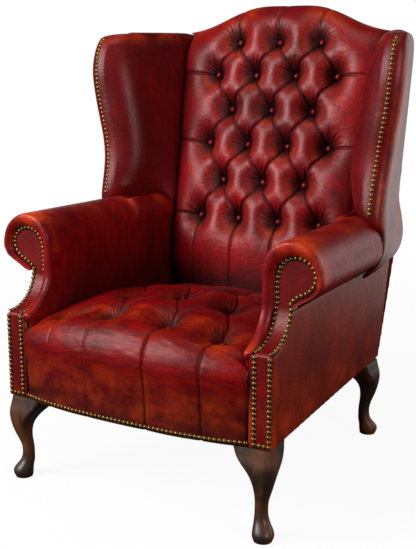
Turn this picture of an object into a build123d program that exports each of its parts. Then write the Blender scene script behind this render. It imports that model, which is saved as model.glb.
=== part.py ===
from build123d import *
from math import atan2, ceil, cos, radians, sin, sqrt, tan
import os

# A tufted wing chair. Millimetres, +Z up, the chair faces -Y, left_ is -X and right_ is +X.
# Y starts at the face of the front posts; the finished pieces are centred on the origin at the end.

# Fits
gap = 0.3                     # play between covers, padding and frame
play = 1.5                    # play behind a cover that is drawn over a curve
overrun = 20.0                # how far a cutting solid runs past what it cuts

# Overall stance
leg_height = 206.0            # floor to the underside of the rails
body_depth = 741.0            # front posts to the outside back, at the rails
front_half_width = 350.0      # outside panel at the front posts
rear_half_width = 286.0       # outside panel at the rear, at the rails
rear_flare = 24.0             # how much wider the rear is at arm height
rear_rake = 5.4               # outside back, degrees from upright
rail_depth = 90.0
rail_thick = 28.0

# Front posts and rails
post_inner = 300.0
post_depth = 60.0
facing_thick = 4.0
panel_thick = 6.0
border_thick = 8.0
facing_edge = 296.0           # inner edge of the lower facing
step_height = leg_height + 199.0  # top of the lower facing
step_rise = 6.0
front_bow = 32.0              # how far the front rail bows out at its middle
bow_power = 3.0
upright_thick = 50.0
upright_inner = 238.0
upright_outer = 278.0

# Arms
neck_depth = 93.0             # how far the scroll stands behind the post face
neck_top = leg_height + 278.0
neck_sag_share = 0.38
neck_lean_share = 0.72
scroll_x = 356.0
scroll_z = leg_height + 346.0
scroll_edge = 48.0            # radius of the scroll facing
throat_inner = 307.0
throat_outer = 346.0
board_thick = 21.0
arm_inner = 280.0             # inside face of the arm at the post
arm_taper = 0.0268            # how fast the arms close in towards the back
arm_wall = 26.0               # padding on the inside of the arm
roll_bottom = leg_height + 278.0
roll_middle = leg_height + 350.0
roll_top = leg_height + 424.0
roll_outer = 420.0
roll_taper = 0.052
roll_lead = 19.0              # how far the padded rim stands in front of the scroll
roll_end = body_depth - 293.0 # where the wing panel crosses the roll
arm_end = body_depth - 101.0
arm_base = leg_height + 100.0
rear_roll_width = 60.0
arm_rail_width = 21.0
leather = 5.0

# Seat
seat_half_width = 296.0
seat_back = body_depth - 221.0
seat_low = leg_height + 139.0 # where the front roll starts
seat_front_top = leg_height + 222.0
seat_mid_top = leg_height + 256.0
seat_back_top = leg_height + 239.0
seat_crown_at = seat_back * 0.548
seat_fall = 58.0              # how much lower the seat is at the arms
seat_roll = 65.0
border_swell = 9.0
seat_wadding = 26.0
seat_dimple = 22.0
seat_row_shares = ((0.135, (-0.69, -0.33, 0.2, 0.655)),
                   (0.413, (-0.42, 0.017, 0.466)),
                   (0.692, (-0.64, -0.21, 0.236, 0.67)))

# Back, measured along its own slope from the lowest row of buttons
back_rake = 13.98
button_row_y = body_depth - 155.0
button_row_z = leg_height + 367.0
row_pitch = 93.2
button_pitch = 115.0
button_rows = 6
back_foot = 160.0             # padding below the lowest buttons
back_low_half = 262.0
back_high_half = 297.0
flare_start = 30.0
flare_end = 492.0
crest_shoulder = 497.0
crest_hump = 76.0
crest_knee = 182.0
crest_power = 5.0
crest_middle = -38.0          # the top of the crest roll lies behind the button plane
crest_roll = 60.0
crest_rear_roll = 50.0
crest_rear = -106.0
back_rear = -60.0
back_face = 20.0
back_crown = 16.0
back_wadding = 40.0
button_radius = 9.5
button_thick = 4.0
dimple_foot = 11.0
dimple_mouth = 30.0
dimple_rise = 42.0

# Wings
wing_foot = leg_height + 394.0
wing_top = leg_height + 844.0
wing_reach = 373.0            # nail line at the foot of the wing, out from the middle
wing_spread = 33.0            # how much further out it is at the top
wing_front = body_depth - 319.0  # nail line at the foot of the wing, back from the posts
wing_set = 41.0
wing_roll = 24.0
wing_plump = 80.0             # from the nail line to the stuffed inside edge, at its fattest
wing_tuck = 14.0              # how far behind the centre of the roll that edge lies
wing_shares = ((0.0, 0.0, 0.0, 0.0, 0.4), (0.09, 0.0, 0.07, 0.0, 0.53), (0.2, 0.0, 0.34, 0.0, 0.84),
               (0.33, 0.12, 0.6, 0.0, 0.96), (0.46, 0.36, 0.58, 0.0, 1.0),
               (0.6, 0.72, 0.5, 0.0, 1.0), (0.73, 0.94, 0.42, 0.0, 0.95),
               (0.85, 1.0, 0.56, 0.0, 0.84), (0.93, 0.98, 0.85, 0.12, 0.66),
               (0.97, 0.96, 1.05, 0.35, 0.52), (1.0, 0.94, 1.3, 0.8, 0.4))
wing_lean = 13.0              # how far the rear corner leans out above the arm
wing_leather = 6.0
wing_core_share = 0.78        # how far back the wing's padding reaches
skirt_shares = ((0.0, 0.2, 0.0), (0.14, 0.62, 0.55), (0.28, 0.92, 0.9), (0.44, 1.0, 1.0),
                (0.78, 0.98, 0.5), (1.0, 0.96, 0.0))
skirt_low = leg_height + 274.0
skirt_high = leg_height + 426.0
skirt_reach = 401.0
skirt_tuck = 345.0
skirt_bulge = 21.0            # how far the skirt stands out at the rear corner

# Legs
leg_x = 327.0
leg_y = 12.0
rear_leg_x = 276.0
rear_leg_y = body_depth - 35.0
knee = 56.0                   # half the leg across its corners at the top
leg_shares = ((0.0, 0.0, 0.36, 0.95), (0.03, 0.01, 0.4, 0.95), (0.08, 0.02, 0.425, 0.95),
              (0.125, -0.03, 0.39, 0.95), (0.165, -0.11, 0.34, 0.95), (0.205, -0.18, 0.3, 0.95),
              (0.265, -0.22, 0.265, 0.95), (0.335, -0.225, 0.258, 0.95),
              (0.405, -0.19, 0.268, 0.93), (0.475, -0.12, 0.305, 0.9), (0.56, -0.05, 0.375, 0.8),
              (0.645, -0.035, 0.465, 0.66), (0.74, -0.12, 0.62, 0.5), (0.82, -0.3, 0.8, 0.36),
              (0.91, -0.52, 0.94, 0.24), (1.0, -0.66, 1.0, 0.18))
bolt_radius = 4.0
bolt_in_leg = 46.0
bolt_in_post = 50.0
front_bolt = (318.0, 30.0)
rear_bolt = (262.0, body_depth - 37.0)

# Seat suspension
spring_count = 5
spring_wire = 4.0
spring_sway = 22.0
spring_pitch = 34.0
spring_bend = 9.0
spring_spread = 100.0
clip_width = 18.0
clip_length = 14.0
cloth_thick = 1.5
web_width = 50.0
web_thick = 2.0

# Nails
nail_radius = 4.75
nail_height = 2.6
nail_pitch = 11.3
nail_inner_x = 309.0
nail_outer_x = 344.0
nail_foot = leg_height + 8.0
scroll_nails = 43.0

back_plane = Plane(
    origin=(0, button_row_y, button_row_z),
    x_dir=(1, 0, 0),
    z_dir=(0, -cos(radians(back_rake)), sin(radians(back_rake))),
)


def outline(start, *moves):
    """A flat face: each move is the next corner, or a pair (middle, end) of an arc."""
    edges, here = [], start
    for move in moves:
        if isinstance(move[0], tuple):
            edges.append(Edge.make_three_point_arc(here, move[0], move[1]))
            here = move[1]
        elif Vector(*move) != Vector(*here):
            edges.append(Edge.make_line(here, move))
            here = move
    edges.append(Edge.make_line(here, start))
    return Face(Wire(edges))


def bent(low, high, share=0.293):
    """The middle of a quarter round that leaves low straight up and reaches high level."""
    return tuple(a + (b - a) * s for a, b, s in zip(low, high, (share, share, 1 - share)))


def prism(face, vector):
    return Solid.extrude(face, Vector(*vector))


def solids_of(shape):
    """One solid, or a compound of several, from whatever a cut leaves."""
    found = shape.solids()
    return found[0] if len(found) == 1 else Compound(found)


def mirrored(shape):
    return mirror(shape, Plane.YZ)


def rear_y(z):
    """The outside back, inner face of its panel, at height z."""
    return body_depth - panel_thick + (z - leg_height) * tan(radians(rear_rake))


def inner_x(y):
    return arm_inner - arm_taper * y


def panel_x(y, top):
    """Outer face of the outside panel, at the rail or at arm height."""
    rear = rear_half_width + (rear_flare if top else 0)
    return front_half_width + (rear - front_half_width) * y / body_depth


def bow(x):
    return -front_bow * (1 - abs(x / facing_edge) ** bow_power)


def crest(x):
    """Height of the back's top edge above the lowest buttons, along the slope."""
    return crest_shoulder + crest_hump / (1 + abs(x / crest_knee) ** crest_power)


def back_half(v):
    """Half width of the inside back at v above the lowest buttons."""
    rise = (v - flare_start) / (flare_end - flare_start)
    return back_low_half + (back_high_half - back_low_half) * max(rise, 0)


def back_half_at(y, z):
    s, c = sin(radians(back_rake)), cos(radians(back_rake))
    return back_half((y - button_row_y) * s + (z - button_row_z) * c)


def on_back(y_offset, z):
    """World Y of a plane parallel to the button plane, y_offset in front of it, at height z."""
    slope = radians(back_rake)
    return button_row_y + (z - button_row_z) * tan(slope) - y_offset / cos(slope)


# Frame

def facing_side(x, depth, top):
    """The front of a post and its swan neck as a face in YZ, depth behind the facing."""
    neck_mid = (x, neck_depth * neck_lean_share + depth * 0.75,
                step_height + (neck_top - step_height) * neck_sag_share - depth * 0.7)
    return [(x, depth, step_height - depth * 0.5),
            (x, step_rise + depth * 0.6, step_height + step_rise - depth * 0.8),
            (neck_mid, (x, neck_depth + depth, neck_top)),
            (x, neck_depth + depth, top)]


def keyhole(y, grow, foot):
    """The scroll of the arm as a face in XZ at y, grow larger all round."""
    r = scroll_edge + grow
    throat_in, throat_out = throat_inner - grow, throat_outer + grow
    side = r * 0.45
    return outline(
        (throat_in, y, foot),
        (throat_in, y, scroll_z),
        ((scroll_x - r * 0.7, y, scroll_z + r * 0.72), (scroll_x, y, scroll_z + r)),
        ((scroll_x + r * 0.72, y, scroll_z + r * 0.7), (scroll_x + r, y, scroll_z)),
        ((scroll_x + r * 0.94, y, scroll_z - side * 0.8),
         (scroll_x + r * 0.72, y, scroll_z - side * 1.5)),
        (throat_out, y, scroll_z - scroll_edge * 1.2),
        (throat_out, y, foot),
    )


def front_post():
    height = step_height - facing_thick - leg_height - gap
    depth = post_depth - facing_thick - gap
    width = panel_x(post_depth, False) - panel_thick - post_inner - gap
    corner = (post_inner, facing_thick + gap, leg_height)
    return Pos(*corner) * Box(width, depth, height, align=(Align.MIN,) * 3)


def neck_block(x0, x1, depth, back, foot, top):
    """The solid behind a swan neck facing, from foot to top."""
    moves = facing_side(x0, depth, top)
    face = outline((x0, depth, foot), *moves, (x0, back, top), (x0, back, foot))
    return prism(face, (x1 - x0, 0, 0))


def scroll_board():
    depth = facing_thick + gap
    back = neck_depth + depth + board_thick
    x1 = panel_x(back, False) - panel_thick - gap
    neck = neck_block(throat_inner, x1, depth, back, step_height - facing_thick, neck_top)
    plate = prism(keyhole(neck_depth + depth, 0, neck_top), (0, board_thick, 0))
    return solids_of(neck + plate)


def arm_facing():
    plate_x0, plate_x1 = facing_edge, front_half_width
    outer = neck_block(throat_inner, throat_outer, 0, neck_depth + facing_thick, step_height, neck_top)
    inner = neck_block(throat_inner - overrun, throat_outer + overrun, facing_thick,
                       neck_depth * 2, step_height - overrun, neck_top)
    low = prism(outline((plate_x0, 0, leg_height), (plate_x1, 0, leg_height),
                        (plate_x1, 0, step_height), (plate_x0, 0, step_height)), (0, facing_thick, 0))
    head = prism(keyhole(neck_depth, 0, neck_top), (0, facing_thick, 0))
    return solids_of((outer - inner) + low + head)


def slab(front, rear, low, high):
    """A board between a front and a rear pair of X values, each given with its Y."""
    (y0, a0, b0), (y1, a1, b1) = front, rear
    face = outline((a0, y0, low), (b0, y0, low), (b1, y1, low), (a1, y1, low))
    return prism(face, (0, 0, high - low))


def side_rail():
    def across(y):
        outer = panel_x(y, False) - panel_thick - gap
        return y, outer - rail_thick, outer
    return slab(across(post_depth + gap), across(upright_front(leg_height) - gap),
                leg_height, leg_height + rail_depth)


def front_rail():
    skin = border_thick + play
    half = post_inner - gap
    shares = (-1, -0.75, -0.4, 0, 0.4, 0.75, 1)
    points = [(s * half, min(bow(s * half), 0) + skin, leg_height) for s in shares]
    curve = Edge.make_spline([Vector(*p) for p in points])
    back = skin + rail_thick
    sides = Edge.make_line(points[-1], (half, back, leg_height))
    rear = Edge.make_line((half, back, leg_height), (-half, back, leg_height))
    close = Edge.make_line((-half, back, leg_height), points[0])
    return prism(Face(Wire([curve, sides, rear, close])), (0, 0, rail_depth))


def rear_rail():
    y = rear_y(leg_height) - upright_thick / 2
    half = upright_inner - gap
    return slab((y - rail_thick / 2, -half, half), (y + rail_thick / 2, -half, half),
                leg_height, leg_height + rail_depth)


def upright_front(z):
    return rear_y(z) - gap - upright_thick


def rear_upright():
    top = wing_top - crest_roll
    face = outline((upright_inner, upright_front(leg_height), leg_height),
                   (upright_inner, rear_y(leg_height) - gap, leg_height),
                   (upright_inner, rear_y(top) - gap, top),
                   (upright_inner, upright_front(top), top))
    return prism(face, (upright_outer - upright_inner, 0, 0))


def upright_space():
    """Room for the upright and its liner, which the leathers of arm and wing leave free."""
    face = outline((0, on_back(back_rear, leg_height), leg_height),
                   (0, rear_y(leg_height) + overrun, leg_height),
                   (0, rear_y(wing_top) + overrun, wing_top),
                   (0, on_back(back_rear, wing_top), wing_top))
    behind = outline((0, upright_front(leg_height) - gap, leg_height),
                     (0, rear_y(leg_height) + overrun, leg_height),
                     (0, rear_y(wing_top) + overrun, wing_top),
                     (0, upright_front(wing_top) - gap, wing_top))
    return [prism(face, (upright_inner + rail_thick + gap, 0, 0)),
            prism(behind, (upright_outer + gap, 0, 0))]


def back_liner():
    """A wedge on the front of the upright that gives the inside back its slope."""
    low, high = leg_height + rail_depth * 2, wing_top - crest_roll * 2
    x = upright_inner
    front = back_rear - web_thick - gap * 2
    face = outline((x, on_back(front, low), low), (x, upright_front(low) - gap, low),
                   (x, upright_front(high) - gap, high), (x, on_back(front, high), high))
    return prism(face, (rail_thick, 0, 0))


def crest_rail():
    half = upright_inner - gap
    low = crest_shoulder - crest_rear_roll - crest_roll
    shares = (-1, -0.83, -0.62, -0.37, 0, 0.37, 0.62, 0.83, 1)
    tops = [(s * half, crest(s * half) - crest_rear_roll - play, back_rear - gap) for s in shares]
    curve = Edge.make_spline([Vector(*p) for p in tops])
    right = Edge.make_line(tops[-1], (half, low, back_rear - gap))
    foot = Edge.make_line((half, low, back_rear - gap), (-half, low, back_rear - gap))
    left = Edge.make_line((-half, low, back_rear - gap), tops[0])
    rail = prism(Face(Wire([curve, right, foot, left])), (0, 0, crest_rear - back_rear + rail_thick / 2))
    return back_plane * rail


def lower_back_rail():
    z = leg_height + rail_depth * 2
    half = upright_inner - gap
    y = on_back(back_rear - gap, z + web_width)
    return slab((y, -half, half), (y + rail_thick, -half, half), z, z + web_width)


def arm_rail():
    def across(y):
        return y, inner_x(y) + rail_thick, inner_x(y) + rail_thick + arm_rail_width
    start = neck_depth + facing_thick + board_thick + gap * 2
    return slab(across(start), across(upright_front(roll_middle) - gap),
                roll_middle, roll_middle + rail_thick)


def corner_blocks():
    leg = rail_depth * 0.75
    rise = rail_thick / 2
    low = leg_height + rise
    skin = border_thick + play + gap + rail_thick
    rear = rear_y(leg_height) - upright_thick / 2 - rail_thick / 2 - gap
    front_x, rear_x = post_inner - gap, upright_inner - gap
    front = outline((front_x, skin, low), (front_x - leg, skin, low), (front_x, skin + leg, low))
    back = outline((rear_x, rear, low), (rear_x - leg, rear, low), (rear_x, rear - leg, low))
    right = [prism(face, (0, 0, rail_depth - 2 * rise)) for face in (front, back)]
    return Compound(right + [mirrored(block) for block in right])


def wing_frame_section(z, grow):
    """The board inside the wing, from its front roll to the rear corner, as a face at z."""
    fx, fy, rx, ry = wing_line(z)
    half = rail_thick / 4 + grow
    ax, ay = fx - wing_roll * 0.1, fy - grow
    by = ry - wing_roll * 2 + grow
    outer = rx + (fx + wing_roll - rx) * (ry - by) / (ry - fy)
    bx = (outer + back_half_at(by, z)) / 2
    return outline((ax - half, ay, z), (ax + half, ay, z), (bx + half, by, z), (bx - half, by, z))


def wing_frame(grow=0.0):
    low = roll_top + wing_roll
    high = wing_top - wing_roll * 2
    heights = [low - grow, (low + high) / 2, high + grow]
    return Solid.make_loft([wing_frame_section(z, grow).outer_wire() for z in heights], ruled=True)


# Legs

def leg(x, y, facing):
    """A cabriole leg whose knee points away from the middle of the chair."""
    sections = []
    for height, drift, half, roundness in leg_shares:
        side = half * knee / (sqrt(2) - (sqrt(2) - 1) * roundness)
        centre = drift * knee / sqrt(2)
        sketch = RectangleRounded(2 * side, 2 * side, side * roundness)
        place = Pos(x + centre, y + facing * centre, height * leg_height)
        sections.append((place * sketch).face())
    return loft(sections)


def bolt(place, grow=0.0):
    x, y = place
    length = bolt_in_leg + bolt_in_post
    start = Pos(x, y, leg_height - bolt_in_leg - grow)
    return start * Cylinder(bolt_radius + grow, length + 2 * grow,
                            align=(Align.CENTER, Align.CENTER, Align.MIN))


# Seat

def seat_section(x, inset, low, border):
    """The seat in profile at x: front border, front roll, crowned top and back edge."""
    fall = seat_fall * abs(x / seat_half_width) ** 2.2
    front = bow(x) + inset
    roll_front = (x, front - border_swell, seat_low)
    roll_back = (x, front - border_swell + seat_roll, seat_front_top - fall * 0.55 - inset)
    crown = (x, seat_crown_at, seat_mid_top - fall - inset)
    back = (x, seat_back, seat_back_top - fall * 0.8 - inset)
    top = [(bent(roll_front, roll_back), roll_back), (crown, back)]
    if not border:
        return outline((x, front - border_swell, low), roll_front, *top, (x, seat_back, low))
    hem = front + border_thick
    swell = (x, front - border_swell * 0.7, (leg_height + seat_low) / 2)
    return outline((x, front, leg_height), (swell, roll_front), *top,
                   (x, seat_back, low), (x, hem, low), (x, hem, leg_height))


def seat_loft(inset, low, border):
    shares = (-1, -0.8, -0.45, 0, 0.45, 0.8, 1)
    wires = [seat_section(s * seat_half_width, inset, low, border).outer_wire() for s in shares]
    return Solid.make_loft(wires)


def seat_plan(inset):
    """The seat from above: between the posts in front, between the arms behind."""
    front_y = border_thick + gap * 2
    wide = facing_edge - gap - inset
    side = gap * 2 + inset
    corners = [(wide, -seat_roll), (wide, front_y), (inner_x(front_y) - side, front_y),
               (inner_x(seat_back + overrun) - side, seat_back + overrun)]
    ring = corners + [(-x, y) for x, y in reversed(corners)]
    face = outline(*[(x, y, 0) for x, y in ring])
    return prism(face, (0, 0, seat_mid_top + overrun))


def seat_base():
    return leg_height + rail_depth + spring_wire + gap * 2 + cloth_thick


def seat_top(x, y):
    """Height of the crowned seat at a place on it."""
    fall = seat_fall * abs(x / seat_half_width) ** 2.2
    mid = seat_mid_top - fall
    if y < seat_crown_at:
        start = bow(x) - border_swell + seat_roll
        edge, reach = seat_front_top - fall * 0.55, seat_crown_at - start
    else:
        edge, reach = seat_back_top - fall * 0.8, seat_back - seat_crown_at
    return mid - (mid - edge) * ((y - seat_crown_at) / reach) ** 2


def seat_points():
    """The buttons of the seat, row by row, on the crowned top."""
    rows = []
    for depth, places in seat_row_shares:
        y = depth * seat_back
        rows.append([(s * seat_half_width, y, seat_top(s * seat_half_width, y)) for s in places])
    return rows


def dimple(place):
    """The hollow round a button, open upwards."""
    return Pos(*place) * Cone(dimple_foot, dimple_mouth, dimple_rise,
                              align=(Align.CENTER, Align.CENTER, Align.MIN))


def seat_cutters():
    return [dimple((x, y, z - seat_dimple)) for row in seat_points() for x, y, z in row]


def seat_cover():
    shell = seat_loft(0, seat_base(), True) & seat_plan(0)
    hollow = seat_loft(seat_wadding - gap, seat_base() - overrun, False) & seat_plan(seat_wadding - gap)
    return solids_of(shell - hollow - seat_cutters())


def seat_pad():
    return solids_of(seat_loft(seat_wadding, seat_base(), False) & seat_plan(seat_wadding))


def button():
    disc = Cylinder(button_radius, button_thick, align=(Align.CENTER, Align.CENTER, Align.MIN))
    return fillet(disc.edges().sort_by(Axis.Z)[-1], button_thick * 0.6)


def seat_buttons():
    places = [p for row in seat_points() for p in row]
    return Compound([Pos(x, y, z - seat_dimple) * button().solid() for x, y, z in places])


# Back, in the frame of the button plane: X across, Y up the slope, Z towards the sitter

def back_section(u, inset):
    """The back in profile at u: crowned face, crest roll and the hook behind the crest rail."""
    foot = -back_foot + inset / 2
    face = back_face + back_crown * (1 - (u / back_high_half) ** 2) - inset
    top = crest(u) - inset
    start = (u, foot, face - back_crown / 2)
    roll_start = (u, top - crest_roll + inset / 2, face)
    apex = (u, top, crest_middle)
    front_mid = (u, top - (top - roll_start[1]) * 0.293, crest_middle + (face - crest_middle) * 0.707)
    face_mid = (u, (foot + top) * 0.45, face + back_crown * 0.2)
    if inset:
        return outline(start, (face_mid, roll_start), (front_mid, apex),
                       (u, top, back_rear), (u, foot, back_rear))
    hook = crest(u) - crest_rear_roll
    rear_mid = (u, top - crest_rear_roll * 0.293, crest_middle + (crest_rear - crest_middle) * 0.707)
    return outline(start, (face_mid, roll_start), (front_mid, apex), (rear_mid, (u, hook, crest_rear)),
                   (u, hook, back_rear), (u, foot, back_rear))


def back_loft(inset):
    shares = (-1.06, -0.84, -0.66, -0.5, -0.3, 0, 0.3, 0.5, 0.66, 0.84, 1.06)
    wires = [back_section(s * back_high_half, inset).outer_wire() for s in shares]
    return Solid.make_loft(wires)


def back_front(inset):
    """The inside back seen square on, as a prism that trims its sides."""
    top = crest_shoulder + crest_hump + overrun
    heights = (-back_foot - overrun, flare_start, top)
    right = [(back_half(v) - gap - inset, v) for v in heights]
    ring = right + [(-x, v) for x, v in reversed(right)]
    depth = back_face + back_crown * 2 - crest_rear + overrun * 2
    face = outline(*[(x, v, crest_rear - overrun) for x, v in ring])
    return prism(face, (0, 0, depth))


def back_points():
    """The buttons of the back from the lowest row up: four and three in turn."""
    rows = []
    for i in range(button_rows):
        shares = (-1.5, -0.5, 0.5, 1.5) if i % 2 == 0 else (-1, 0, 1)
        rows.append([(s * button_pitch, i * row_pitch) for s in shares])
    return rows


def back_cutters():
    return [dimple((x, v, 0)) for row in back_points() for x, v in row]


def inside_back_cover():
    shell = back_loft(0) & back_front(0)
    hollow = back_loft(back_wadding - gap) & back_front(back_wadding - gap)
    rear_box = Box(back_low_half * 2 - back_wadding * 2, row_pitch, overrun * 2)
    rear = Pos(0, 0, back_rear - overrun) * rear_box
    return back_plane * solids_of(shell - hollow - rear - back_cutters())


def back_pad():
    return back_plane * solids_of(back_loft(back_wadding) & back_front(back_wadding))


def back_buttons():
    places = [p for row in back_points() for p in row]
    return back_plane * Compound([Pos(x, v, 0) * button().solid() for x, v in places])


def outside_back_panel():
    """The board of leather behind, from the rails up to the crest roll."""
    slope = radians(rear_rake)

    def place(x, z):
        return x, (z - leg_height) / cos(slope)

    arm_z = skirt_low
    waist_z = (wing_foot + wing_top) / 2
    half_top = rear_corner(wing_top - crest_roll)
    shares = (1, 0.7, 0.4, 0, -0.4, -0.7, -1)
    tops = [(s * half_top, rear_crest_z(s * half_top)) for s in shares]
    right = [(rear_half_width, leg_height), (rear_half_width + rear_flare, arm_z),
             (rear_corner(waist_z), waist_z)]
    points = [place(*p) for p in right]
    curve = Edge.make_spline([Vector(*place(*p), 0) for p in tops])
    side = [(x, t, 0) for x, t in points]
    corner = (*place(*tops[0]), 0)
    edges = [Edge.make_line(a, b) for a, b in zip(side, side[1:] + [corner])]
    far = [(-x, t, z) for x, t, z in side[::-1]]
    last = (*place(*tops[-1]), 0)
    edges += [curve] + [Edge.make_line(a, b) for a, b in zip([last] + far, far + [side[0]])]
    sheet = prism(Face(Wire(edges)), (0, 0, -panel_thick))
    plane = Plane(origin=(0, body_depth - panel_thick + gap, leg_height), x_dir=(1, 0, 0),
                  z_dir=(0, -cos(slope), sin(slope)))
    return plane * sheet


def rear_crest_z(x):
    """Height at which the crest roll ends behind."""
    s, c = sin(radians(back_rake)), cos(radians(back_rake))
    v = crest(x) - crest_rear_roll
    return button_row_z + v * c + crest_rear * s


# Wings

def rear_corner(z):
    """X of the rear corner above the arms."""
    share = (z - skirt_high) / (wing_top - skirt_high)
    return rear_half_width + rear_flare + wing_lean * min(max(share, 0), 1)


def wing_line(z):
    """Centre of the wing's front roll and its rear corner at height z."""
    share = (z - wing_foot) / (wing_top - wing_foot)
    for low, high in zip(wing_shares, wing_shares[1:]):
        if share <= high[0]:
            break
    t = (share - low[0]) / (high[0] - low[0])
    reach, back = (a + (b - a) * t for a, b in zip(low[1:3], high[1:3]))
    fx = wing_reach + wing_spread * reach
    fy = wing_front + wing_set * back + wing_roll
    return fx, fy, rear_corner(z), rear_y(z) - gap


def wing_section(share, inset):
    """The wing from above at a share of its height: front roll, outside, rear, inside."""
    z = wing_foot + share[0] * (wing_top - wing_foot)
    fx, fy, rx, ry = wing_line(z)
    top_inset = share[3] * wing_roll
    r = wing_roll - inset - top_inset * 0.6
    rx -= inset + top_inset * 0.5
    if inset:
        rx, ry = fx + r + (rx - fx - r) * wing_core_share, fy + (ry - fy) * wing_core_share
    jy = on_back(back_face / 2, z)
    jx = back_half_at(jy, z) + gap + inset
    bx = back_half_at(ry, z) + gap + inset
    nose, outer = (fx, fy - r, z), (fx + r, fy, z)
    q = r * 0.707
    plump, deep = share[4] * wing_plump - inset, r + wing_tuck
    bend = (plump ** 2 + deep ** 2) / (2 * deep)
    turn = atan2(plump, bend - deep)

    def along(angle):
        return fx - bend * sin(angle), fy - r + bend * (1 - cos(angle)), z

    return outline(along(turn), (along(turn / 2), nose), ((fx + q, fy - q, z), outer),
                   (rx, ry, z), (bx, ry, z), (jx, jy, z))


def wing_body(inset):
    rows = [list(row) for row in wing_shares]
    if inset:
        drop = inset / (wing_top - wing_foot)
        rows[-1][0] -= drop
        rows[-2][0] -= drop
    return Solid.make_loft([wing_section(row, inset).outer_wire() for row in rows])


def wing_split():
    """Everything outside the wing's nail line, for parting the two leathers."""
    wires = []
    for share in (0.0, 0.2, 0.46, 0.73, 0.93, 1.0):
        z = wing_foot + share * (wing_top - wing_foot)
        fx, fy, rx, ry = wing_line(z)
        shift = (share - 0.5) * overrun * 2
        far = front_half_width * 2
        nose = fy - wing_roll * 2
        ring = [(fx, nose), (fx, fy), (rx - wing_roll, ry - wing_roll), (rx - wing_roll, ry + overrun),
                (far, ry + overrun), (far, nose)]
        wires.append(outline(*[(x, y, z + shift) for x, y in ring]).outer_wire())
    return Solid.make_loft(wires, ruled=True)


def skirt():
    """The foot of the outside wing panel, which runs down behind the arm roll."""
    wires = []
    rear_x = rear_half_width + rear_flare
    for height, reach, bulge in skirt_shares:
        z = skirt_low + height * (skirt_high - skirt_low)
        fx = skirt_tuck + reach * (skirt_reach - skirt_tuck)
        rx = rear_x + bulge * skirt_bulge
        y0, y1 = roll_end + gap, rear_y(z) - gap
        wires.append(outline((fx - panel_thick, y0, z), (fx, y0, z), (rx, y1, z),
                             (rx - panel_thick, y1, z)).outer_wire())
    return Solid.make_loft(wires, ruled=True)


def wing_parts(arm):
    shell = wing_body(0) - arm - upright_space()
    core = wing_body(wing_leather)
    hollow = wing_body(wing_leather - gap)
    leathers = shell - hollow - wing_frame(gap)
    split = wing_split()
    inside = leathers - split
    outside = (leathers & split) + skirt()
    pad = core - arm - wing_frame(gap)
    return solids_of(inside), solids_of(outside), solids_of(pad)


# Arms

def arm_section(y, inset, rear):
    """The arm across at y: inside face, roll, underside and the back of its padding."""
    xi = inner_x(y) + inset
    wall = inner_x(y) + arm_wall
    xo = (inner_x(y) + rear_roll_width if rear else roll_outer - roll_taper * (y - neck_depth)) - inset
    under = min(panel_x(y, True) - panel_thick - gap, xo) if not rear else wall + rail_thick / 2
    top = ((xi + xo) / 2, y, roll_top - inset)
    shoulder = (xi + leather, y, roll_middle)
    outer = (xo, y, roll_middle)
    half = (xo - xi) / 2
    rise = roll_top - inset - roll_middle
    left_mid = (top[0] - half * 0.7, y, roll_middle + rise * 0.7)
    right_mid = (top[0] + half * 0.7, y, roll_middle + rise * 0.7)
    belly = (xo - half * 0.3, y, roll_bottom + (roll_middle - roll_bottom) * 0.47 + inset / 2)
    belly_mid = (xo - half * 0.06, y, roll_middle - (roll_middle - belly[2]) * 0.55)
    low = arm_base + inset
    return outline((xi, y, low), shoulder, (left_mid, top), (right_mid, outer), (belly_mid, belly),
                   (under - inset, y, roll_bottom + inset), (wall - inset, y, roll_bottom + inset),
                   (wall - inset, y, low))


def arm_side(inset):
    """The arm from the side: the swan neck with its padded rim."""
    x = arm_inner - overrun * 2
    lead = roll_lead - inset
    face = outline(
        (x, border_thick + gap * 3 + inset, arm_base - overrun),
        (x, border_thick + gap * 3 + inset, step_height - lead * 0.8),
        (x, -facing_thick + inset, step_height - lead * 0.4),
        (x, -facing_thick + inset, step_height + lead * 0.3),
        ((x, neck_depth * neck_lean_share - lead * 0.75,
          step_height + (neck_top - step_height) * neck_sag_share + lead * 0.7),
         (x, neck_depth - lead, neck_top + lead * 0.4)),
        (x, neck_depth - lead, roll_top + overrun),
        (x, arm_end - inset, roll_top + overrun),
        (x, arm_end - inset, arm_base - overrun),
    )
    return prism(face, (roll_outer - x + overrun * 2, 0, 0))


def arm_body(inset):
    """The whole padded arm, roll and inside wall, inset below its leather."""
    front = [arm_section(y, inset, False).outer_wire() for y in (-roll_lead * 2, roll_end - inset)]
    rear = [arm_section(y, inset, True).outer_wire() for y in (roll_end - overrun, arm_end + overrun)]
    whole = Solid.make_loft(front, ruled=True) + Solid.make_loft(rear, ruled=True)
    board_back = neck_depth + facing_thick + board_thick + gap * 2
    recess = prism(keyhole(-overrun, gap, step_height), (0, board_back + overrun, 0))
    neck = neck_block(throat_inner - gap, roll_outer, -gap, board_back, step_height - overrun, neck_top)
    post = Box(front_half_width - facing_edge, post_depth + gap * 2 + overrun, step_height,
               align=(Align.MIN,) * 3)
    low = Pos(facing_edge - gap, -overrun, 0) * post
    return (whole & arm_side(inset)) - recess - neck - low - upright_space()


def arm_parts():
    body = arm_body(0)
    hollow = arm_body(leather - gap)
    core = arm_body(leather) - arm_rail_space()
    return solids_of(body - hollow - arm_rail_space()), solids_of(core)


def arm_rail_space():
    def across(y):
        return y, inner_x(y) + rail_thick - gap, inner_x(y) + rail_thick + arm_rail_width + gap
    return slab(across(neck_depth), across(arm_end + overrun), roll_middle - gap,
                roll_middle + rail_thick + gap)


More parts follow.
